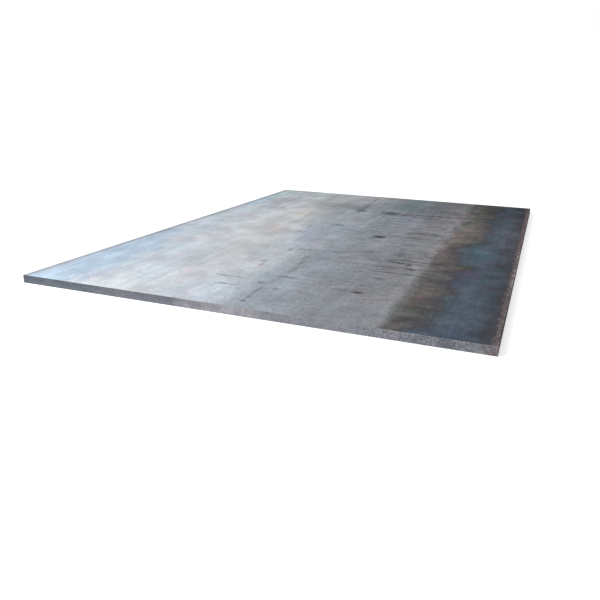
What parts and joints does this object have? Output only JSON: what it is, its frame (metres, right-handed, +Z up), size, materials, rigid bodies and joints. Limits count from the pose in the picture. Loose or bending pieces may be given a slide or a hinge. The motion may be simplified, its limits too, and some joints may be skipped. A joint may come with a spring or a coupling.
{
  "type": "wear plate",
  "caption": "Flat hot-rolled steel plate, torch-cut to 2 x 3 m on all four sides, with square cut edges; raw stock for abrasion-resistant liners.",
  "frame": {"origin": "middle of the underside, the rolled face that the plate lies on", "axes": "+Y along the rolling direction, which is the plate's length; +X across its width; +Z up through its thickness"},
  "size_m": [2, 3, 0.035],
  "materials": {
    "rolled_steel": "hot-rolled mill scale, pale and bluish on one side, grey in the middle, with a brown and a blue heat band along one long edge; grey torch-cut edges with a little rust"
  },
  "bodies": {
    "root": {"wear_plate": "rolled_steel"}
  },
  "joints": []
}
